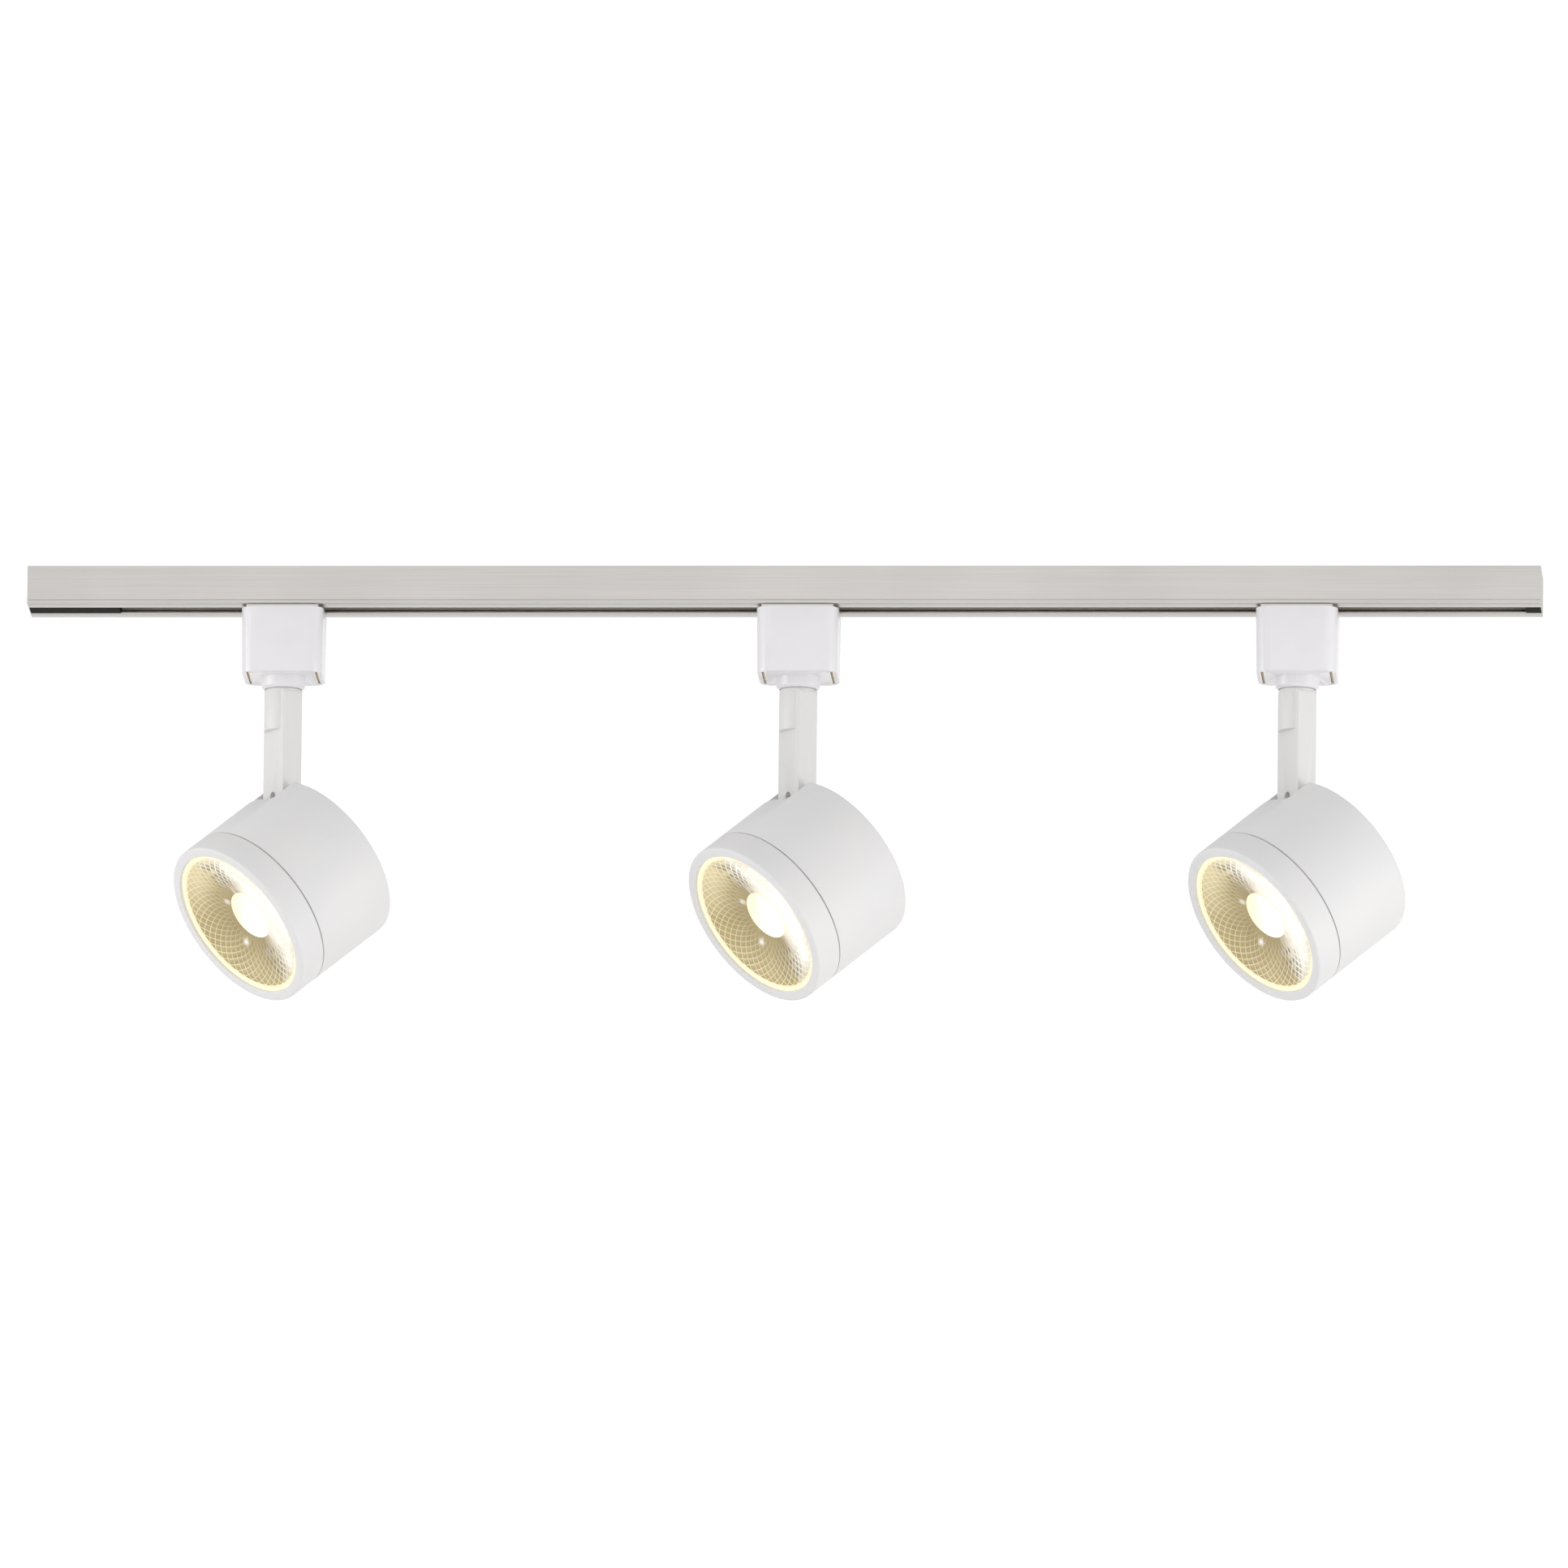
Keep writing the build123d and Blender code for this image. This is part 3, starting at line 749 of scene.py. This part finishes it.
def drilled(mesh):
    # Two screw holes and the feed hole, through the rail's back.
    carrier = newObject("carrier", mesh)
    holes = bmesh.new()
    mounts = {mount["name"]: mount for mount in frame["record"]["mounts"]}
    screws, feed = mounts["ceiling_screws"]["dims"], mounts["feed_entry"]
    reach = screws["spacing_x_mm"] / 2
    places = [(reach, screws["hole_r_mm"]), (-reach, screws["hole_r_mm"])]
    places.append((feed["pos_m"][0] / mm, feed["dims"]["r_mm"]))
    for along, radius in places:
        bmesh.ops.create_cone(
            holes,
            cap_ends=True,
            segments=railSizes["holeSteps"],
            radius1=radius,
            radius2=radius,
            depth=railSizes["topWall"] * 3,
            matrix=Matrix.Translation((along, 0, -railSizes["topWall"] / 2)),
        )
    tool = bpy.data.meshes.new("holes")
    holes.to_mesh(tool)
    holes.free()
    cutter = newObject("holes", tool)
    drill = carrier.modifiers.new("drill", "BOOLEAN")
    drill.object = cutter
    drill.operation = "DIFFERENCE"
    drill.solver = "EXACT"
    mesh = plainMesh(carrier)
    bpy.data.objects.remove(cutter)
    return mesh


def makeRail():
    low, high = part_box("track_rail")
    mesh = shade(drilled(sweptRail(*((high - low) / mm))), 28.0)
    standPiece("trackRail", mesh, "track", ["track_rail"], Matrix.Scale(mm, 4))
    print("rail swept")


# Lens: a bowl of facets that follow two families of spirals, a hub and a lit flange

def spotNear(nodes, angle, radius, spotAngle, spotRadius, size):
    # 1 at a spot on the bowl, fading to 0 at its size: the mask of a painted highlight.
    sideways = (angle - spotAngle).sine() * radius
    ahead = (angle - spotAngle).cosine() * radius - spotRadius
    apart = (sideways * sideways + ahead * ahead) ** 0.5
    return apart.between(size, size * 0.2)


# Painted highlights: two glints, reflections of the studio lamps painted on the bowl as bright spots.
glints = [
    # (angle, radius, size)
    (2.39, 15.0, 2.1),
    (-2.46, 19.1, 2.4),
]


def facetSheet(nodes, given):
    # Diamonds on a flat sheet, every other row half a facet along.
    around, rows = given["Facets Around"], given["Rows"]
    size = {"Size X": around - 1.0, "Size Y": rows}
    count = {"Vertices X": around, "Vertices Y": rows + 1.0}
    grid = nodes.out("GeometryNodeMeshGrid", values={**size, **count})
    x, y = nodes.position()[:2]
    column = x + (around - 1.0) * 0.5
    row = (y + rows * 0.5 + 0.25).floor()
    stagger = row.modulo(2.0) * 0.5
    laid = nodes.moved(grid, nodes.joined(column + stagger, row))
    tile = facetTile(nodes, 0.5)
    placed = nodes.out("GeometryNodeInstanceOnPoints", values={"Points": laid, "Instance": tile})
    settings, values = {"data_type": "FLOAT"}, {"Seed": given["Seed"]}
    tint = nodes.out("FunctionNodeRandomValue", settings, values, output=1)
    tinted = nodes.stored(placed, "facetTint", tint, "INSTANCE")
    return nodes.out("GeometryNodeRealizeInstances", values={"Geometry": tinted})


def bowlTree():
    # The sheet of facets, wrapped into the bowl and marked for its finish.
    inputs = {
        "Facets Around": "Int",
        "Rows": "Int",
        "Inner Radius": "Float",
        "Outer Radius": "Float",
        "Bottom": "Float",
        "Rim": "Float",
        "Bowl Power": "Float",
        "Crown": "Float",
        "Axis Height": "Float",
        "Glare Angle": "Float",
        "Seed": "Int",
        "Material": "Material",
    }
    nodes, given = newTree("spiralBowl", inputs)
    around, rows = given["Facets Around"], given["Rows"]
    flat = facetSheet(nodes, given)
    u, v = nodes.position()[:2]
    v = v.most(0.0).least(rows)
    inward = nodes.named("facetEdge")
    angle = u * (2 * math.pi) / around
    share = v / rows
    inner, outer = given["Inner Radius"], given["Outer Radius"]
    radius = inner + (outer - inner) * share**0.75
    outward = (radius - inner) / (outer - inner)
    fade = v.least(rows - v).least(1.0)
    pillow = 1.0 - (1.0 - inward) ** 2.0
    lift = given["Crown"] * pillow * fade * (0.35 + outward * 0.65)
    bottom, rim = given["Bottom"], given["Rim"]
    forward = bottom + (rim - bottom) * outward ** given["Bowl Power"] + lift
    where = nodes.joined(
        forward, radius * angle.cosine(), given["Axis Height"] + radius * angle.sine()
    )
    # Where each point stands to the glare angle, for the painted glare and the painted light on the upper side.
    facing = (angle - given["Glare Angle"]).cosine()
    above = (angle - given["Glare Angle"]).sine()
    # Masks of the two painted glints.
    upper, lower = [spotNear(nodes, angle, radius, *glint) for glint in glints]
    marks = {"outward": outward, "facing": facing, "above": above, "glint": upper.most(lower)}
    for name, value in marks.items():
        flat = nodes.stored(flat, name, value)
    bowl = nodes.moved(flat, where)
    merged = nodes.out("GeometryNodeMergeByDistance", values={"Geometry": bowl, "Distance": 0.02})
    return endTree(nodes, merged, given["Material"])


def hubTree():
    inputs = {
        "Hub Radius": "Float",
        "Pitch": "Float",
        "Crown": "Float",
        "Dome": "Float",
        "Face": "Float",
        "Axis Height": "Float",
        "Material": "Material",
    }
    nodes, given = newTree("hubGrid", inputs)
    across = given["Hub Radius"] * 2.0 + given["Pitch"] * 2.0
    count = (across / given["Pitch"]).floor()
    values = {"Size X": across, "Size Y": across, "Vertices X": count, "Vertices Y": count}
    grid = nodes.out("GeometryNodeMeshGrid", values=values)
    values = {"Geometry": facetTile(nodes, 1.0), "Rotation": (0.0, 0.0, math.radians(45.0))}
    turned = nodes.out("GeometryNodeTransform", values=values)
    step = across / (count - 1.0) * (0.5 * math.sqrt(2.0))
    values = {"Points": grid, "Instance": turned, "Scale": nodes.joined(step, step, 1.0)}
    placed = nodes.out("GeometryNodeInstanceOnPoints", values=values)
    flat = nodes.out("GeometryNodeRealizeInstances", values={"Geometry": placed})
    # The flat sheet's X and Y become Y and Z, drawn in to the hub's edge and domed.
    y, z = nodes.position()[:2]
    inward = nodes.named("facetEdge")
    radius = (y * y + z * z) ** 0.5
    held = radius.least(given["Hub Radius"])
    squeeze = held / radius.most(0.001)
    share = held / given["Hub Radius"]
    forward = given["Face"] - given["Dome"] * share**2.0
    forward = forward + given["Crown"] * inward * (1.0 - share) ** 0.5
    where = nodes.joined(forward, y * squeeze, z * squeeze + given["Axis Height"])
    # How far towards the upper-left each point lies, where the hub's painted glow is creamier and shows its grid.
    corner = (z * 0.68 - y * 0.73) / given["Hub Radius"]
    marked = nodes.stored(flat, "corner", corner)
    dome = nodes.moved(marked, where)
    merged = nodes.out("GeometryNodeMergeByDistance", values={"Geometry": dome, "Distance": 0.02})
    return endTree(nodes, merged, given["Material"])


def facetMesh(tree, values):
    # The tree's mesh, without faces that have no area, and with all faces towards the opening.
    mesh = growMesh(tree, values)
    shape = bmesh.new()
    shape.from_mesh(mesh)
    bmesh.ops.dissolve_degenerate(shape, dist=1e-3, edges=shape.edges)
    loose = [vert for vert in shape.verts if not vert.link_faces]
    bmesh.ops.delete(shape, geom=loose, context="VERTS")
    for face in shape.faces:
        face.normal_update()
        if face.normal.x < 0:
            face.normal_flip()
    shape.to_mesh(mesh)
    shape.free()
    return shade(mesh, 60.0)


lensSizes = {
    "front": 52.25,
    "axisHeight": -26.9,
    "flangeOuter": 39.35,
    "rimRadius": 36.8,
    "flangeBack": 1.6,
    "rimBack": 2.2,
    "hubRadius": 12.7,
    "hubBack": 9.0,
    "bowlBack": 9.0,
    "bowlPower": 1.2,
    "facetsAround": 46,
    "rows": 9,
    "crown": 0.4,
    "seed": 7,
    "glareAngle": math.radians(3.0),
    "hubPitch": 1.5,
    "hubCrown": 0.12,
    "hubDome": 0.5,
    "hubRise": 0.75,
}


def makeLens():
    size = lensSizes
    front, axis = size["front"], size["axisHeight"]
    bowl = facetMesh(
        bowlTree(),
        {
            "Facets Around": size["facetsAround"],
            "Rows": size["rows"],
            "Inner Radius": size["hubRadius"] + 0.3,
            "Outer Radius": size["rimRadius"],
            "Bottom": front - size["bowlBack"],
            "Rim": front - size["rimBack"],
            "Bowl Power": size["bowlPower"],
            "Crown": size["crown"],
            "Axis Height": axis,
            "Glare Angle": size["glareAngle"],
            "Seed": size["seed"],
            "Material": finishes["lensFacets"],
        },
    )
    hub = facetMesh(
        hubTree(),
        {
            "Hub Radius": size["hubRadius"] - 0.05,
            "Pitch": size["hubPitch"],
            "Crown": size["hubCrown"],
            "Dome": size["hubDome"],
            "Face": front - size["hubBack"] + size["hubRise"],
            "Axis Height": axis,
            "Material": finishes["lensHub"],
        },
    )
    return {
        "lensFacets": bowl,
        "lensHub": hub,
        "lensFlange": makeFlange(),
        "lensBody": makeOptic(),
    }


def makeFlange():
    # Fine ridges turned on the lit flange, from the trim ring in to the bowl's rim.
    size = {"ridges": 2, "ridgeHeight": 0.09, "steps": 28, "depth": 3.0, "wall": 0.4}
    front, start = lensSizes["front"], lensSizes["flangeBack"]
    outer, inner = lensSizes["flangeOuter"], lensSizes["rimRadius"]
    outline, marks = [], []
    for step in range(size["steps"] + 1):
        share = step / size["steps"]
        wave = math.cos(share * 2 * math.pi * size["ridges"])
        ridge = size["ridgeHeight"] * (0.5 + 0.5 * wave)
        slope = start + (lensSizes["rimBack"] - start) * share**2
        outline.append((front - slope + ridge, outer - (outer - inner) * share))
        marks.append(share)
    back = front - start - size["depth"]
    outline += [(back, inner + size["wall"]), (back, outer)]
    marks += [1.0, 0.0]
    return turnedMesh(outline, lensSizes["axisHeight"], 160, finishes["lensFlange"], marks)


def makeOptic():
    # The clear body behind the facets: its back is the cone that gathers the light.
    size = {
        "back": 28.75,
        "backRadius": 11.0,
        "pocketFloor": 33.1,
        "pocketRadius": 8.5,
        "coneFront": 46.5,
        "coneRadius": 37.9,
        "rimRadius": 40.6,
        "rimBack": 4.85,
        "seatRadius": 36.3,
        "seatFront": 3.35,
        "seatInner": 35.9,
        "bowlGap": 0.65,
        "hubGap": 0.2,
    }
    front, hubWall = lensSizes["front"], lensSizes["hubRadius"]
    hubFace = front - lensSizes["hubBack"] + size["hubGap"]
    outline = [
        ((size["back"], size["pocketRadius"]), 0),
        ((size["back"], size["backRadius"]), 0.3),
        ((size["coneFront"], size["coneRadius"]), 0.6),
        ((front - size["rimBack"], size["rimRadius"]), 0),
        ((front - size["rimBack"], size["seatRadius"]), 0),
        ((front - size["seatFront"], size["seatInner"]), 0),
        ((front - lensSizes["bowlBack"] - size["bowlGap"], hubWall), 0),
        ((hubFace, hubWall - 0.1), 0.05),
        ((hubFace, 0.0), 0),
        ((size["pocketFloor"], 0.0), 0),
        ((size["pocketFloor"], size["pocketRadius"]), 0.4),
    ]
    turned = rounded(outline, 3)
    return turnedMesh(turned, lensSizes["axisHeight"], 128, finishes["lensBody"])


# Trim ring: turned, with an eased front edge and a fine step inside the lip

def makeTrimRing():
    size = {
        "front": lensSizes["front"],
        "outer": 44.45,
        "opening": 39.4,
        "length": 15.2,
        "spigotOuter": 42.0,
        "spigotInner": 41.0,
        "spigotLength": 9.0,
        "lip": 1.3,
        "edge": 1.1,
        "seamWidth": 0.45,
        "seamDepth": 2.1,
    }
    front, back = size["front"], size["front"] - size["length"]
    seamFloor, seamFront = size["outer"] - size["seamDepth"], back + size["seamWidth"]
    outline = [
        ((back - size["spigotLength"], size["spigotInner"]), 0.2),
        ((back - size["spigotLength"], size["spigotOuter"]), 0.3),
        ((back, size["spigotOuter"]), 0),
        ((back, seamFloor), 0),
        ((seamFront, seamFloor), 0),
        ((seamFront, size["outer"]), 0.1),
        ((front, size["outer"]), size["edge"]),
        ((front, size["opening"]), 0.45),
        ((front - size["lip"], size["opening"]), 0.2),
        ((front - size["lip"], size["spigotInner"]), 0),
    ]
    turned = rounded(outline, 6)
    return turnedMesh(turned, lensSizes["axisHeight"], 192, finishes["headPaint"])


def makePads(side):
    # Two low pads on the adapter's top, which slide along the track's lips.
    size = {"inset": 0.3, "halfLength": 17.8, "width": 8.7, "gap": 0.12, "sink": 0.1, "edge": 0.2}
    low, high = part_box(f"{side}_adapter_shell")
    railLow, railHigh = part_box("track_rail")
    middle = (low.x + high.x) / 2 / mm
    bottom, top = high.z / mm - size["sink"], railLow.z / mm - size["gap"]
    reach = railHigh.y / mm - size["inset"] - size["width"] / 2
    shape = bmesh.new()
    for across in (-reach, reach):
        place = Matrix.Translation((middle, across, (bottom + top) / 2))
        spread = Matrix.Diagonal((size["halfLength"] * 2, size["width"], top - bottom, 1.0))
        bmesh.ops.create_cube(shape, size=1.0, matrix=place @ spread)
    bmesh.ops.bevel(
        shape, geom=shape.edges[:], offset=size["edge"], segments=2, affect="EDGES", profile=0.5
    )
    mesh = bpy.data.meshes.new("slidePads")
    shape.to_mesh(mesh)
    shape.free()
    mesh.materials.append(finishes["nickel"])
    shade(mesh, 30.0)
    scale = Matrix.Scale(mm, 4)
    standPiece(f"{side}_slidePads", mesh, f"{side}_adapter", (), scale)


# Putting the pieces in place

easedPieces = {
    # name: (CAD node, edge in mm, body, slot, finish)
    "adapterShell": ("adapter_shell", 0.7, "adapter", "gloss_white", "glossWhite"),
    "adapterCore": ("adapter_core", 0.15, "adapter", "gloss_white", "glossWhite"),
    "latchYoke": ("latch_yoke", 0.08, "latch", "brass", "brass"),
    "stemBar": ("stem", 0.15, "stem", "white_paint", "stemPaint"),
    "rearHousing": ("rear_housing", 0.15, "head", "white_paint", "headPaint"),
    "hingeBracket": ("hinge_bracket", 0.25, "head", "steel", "steel"),
}
keptNodes = {
    "contact_blades": "copper",
    "swivel_tube": "steel",
    "swivel_nut": "steel",
    "stem_leads": "sleeve",
    "pivot_bolt": "steel",
    "pivot_washers": "nylon",
    "lens_retainer": "nylon",
    "heat_sink": "aluminium",
    "led_board": "board",
    "driver": "black",
}
trackNodes = {
    "insulator_strips": "insulator",
    "conductor_bars": "copper",
    "dead_end_plug": "endPlug",
    "feed_end_plug": "endPlug",
    "terminal_screws": "brass",
}


def paintNode(node, finish):
    mesh = frame["nodes"][node].data
    mesh.materials.clear()
    mesh.materials.append(finishes[finish])


def makeSpotlight(side, lensPieces, trimRing):
    for name, (node, width, body, slot, finish) in easedPieces.items():
        mesh = softened(f"{side}_{node}", width * mm)
        mesh.materials.append(finishes[finish])
        standPiece(f"{side}_{name}", mesh, f"{side}_{body}", [f"{side}_{node}"])
    makePads(side)
    place, body = headPlace(side), f"{side}_head"
    for name, mesh in lensPieces.items():
        replaced = [f"{side}_lens"] if name == "lensBody" else []
        standPiece(f"{side}_{name}", mesh, body, replaced, place)
    replaced = [f"{side}_trim_ring"]
    standPiece(f"{side}_trimRing", trimRing, body, replaced, place)
    for node, finish in keptNodes.items():
        paintNode(f"{side}_{node}", finish)
    print(side, "spotlight made")


makeRail()
for node, finish in trackNodes.items():
    paintNode(node, finish)
lens, ring = makeLens(), makeTrimRing()
print("lens and trim ring made")
for side in sides:
    makeSpotlight(side, lens, ring)


# Floor, light and camera

def makeFloor():
    size = {"drop": 4.6, "half": 14.0}
    look = {"dark": (0.80, 0.80, 0.79), "light": (0.83, 0.83, 0.82)}
    shape = bmesh.new()
    place = Matrix.Translation((0, 0, -size["drop"]))
    bmesh.ops.create_grid(shape, x_segments=1, y_segments=1, size=size["half"], matrix=place)
    mesh = bpy.data.meshes.new("floor")
    shape.to_mesh(mesh)
    shape.free()

    def varying(nodes):
        cloud = nodes.noise(nodes.objectPoint(), 1.5)
        return {"Base Color": nodes.mixColour(cloud, look["dark"], look["light"])}

    mesh.materials.append(newFinish("floorPaint", {"Roughness": 0.9}, varying))
    newObject("floor", mesh)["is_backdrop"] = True


def makeWorld():
    # Even studio light, brightest in front of the lights, with a white backdrop behind them.
    light = {"level": 0.95, "lean": (-0.02, -0.25, -0.12), "backdrop": 1.30}
    world = bpy.data.worlds.new("studio")
    world.use_nodes = True
    tree = world.node_tree
    tree.nodes.clear()
    nodes = Nodes(tree)
    towards = nodes.out("ShaderNodeTexCoord", output="Generated")
    settings, values = {"operation": "DOT_PRODUCT"}, {0: towards, 1: light["lean"]}
    lean = nodes.out("ShaderNodeVectorMath", settings, values, "Value")
    around = lean + light["level"]
    backdrop = nodes.split(towards)[1].between(0.80, 0.93)
    strength = around + backdrop * (light["backdrop"] - around)
    background = nodes.add("ShaderNodeBackground", values={"Strength": strength})
    nodes.add("ShaderNodeOutputWorld", values={"Surface": background})
    bpy.context.scene.world = world


lamps = {
    # name: (place, target, width, power)
    "leftCard": ((-3.0, -0.8, -0.6), (0, 0, -0.1), 1.8, 27.0),
    "rightCard": ((3.0, -0.8, -1.4), (0, 0, -0.1), 1.8, 38.0),
    "floorBounce": ((0, -0.6, -2.4), (0, -0.6, -4.6), 2.4, 64.0),
}


def makeLamp(name, place, target, width, power):
    lamp = bpy.data.lights.new(name, "AREA")
    lamp.shape = "SQUARE"
    lamp.size = width
    lamp.energy = power
    holder = newObject(name, lamp)
    holder.location = place
    aim = Vector(target) - Vector(place)
    holder.rotation_euler = aim.to_track_quat("-Z", "Y").to_euler()


def makeCamera():
    view = {
        "elevation": -11.3,
        "turn": 3.0,
        "distance": 20.0,
        "width": 0.7759,
        "drop": 0.1067,
        "aside": 0.0004,
    }
    rise, turn = math.radians(view["elevation"]), math.radians(view["turn"])
    back = Vector(
        (math.sin(turn) * math.cos(rise), -math.cos(turn) * math.cos(rise), math.sin(rise))
    )
    right = Vector((math.cos(turn), math.sin(turn), 0))
    up = back.cross(right)
    roll = math.atan2(up.x, right.x)  # the track lies level in the frame
    levelRight = right * math.cos(roll) + up * math.sin(roll)
    levelUp = back.cross(levelRight)
    camera = bpy.data.cameras.new("camera")
    camera.sensor_width = 36.0
    camera.lens = camera.sensor_width * view["distance"] / view["width"]
    camera.clip_end = 100.0
    holder = newObject("camera", camera)
    turnMatrix = Matrix((levelRight, levelUp, back)).transposed().to_4x4()
    aim = Vector((view["aside"], 0, -view["drop"]))
    holder.matrix_world = Matrix.Translation(aim + back * view["distance"]) @ turnMatrix
    bpy.context.scene.camera = holder


makeFloor()
makeWorld()
for name, values in lamps.items():
    makeLamp(name, *values)
makeCamera()
bpy.context.scene.view_settings.view_transform = "Standard"
print("floor, light and camera made")

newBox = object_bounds()
boxes = {"cad": cadBox, "visual": newBox}
boxes = {name: [list(corner) for corner in box] for name, box in boxes.items()}
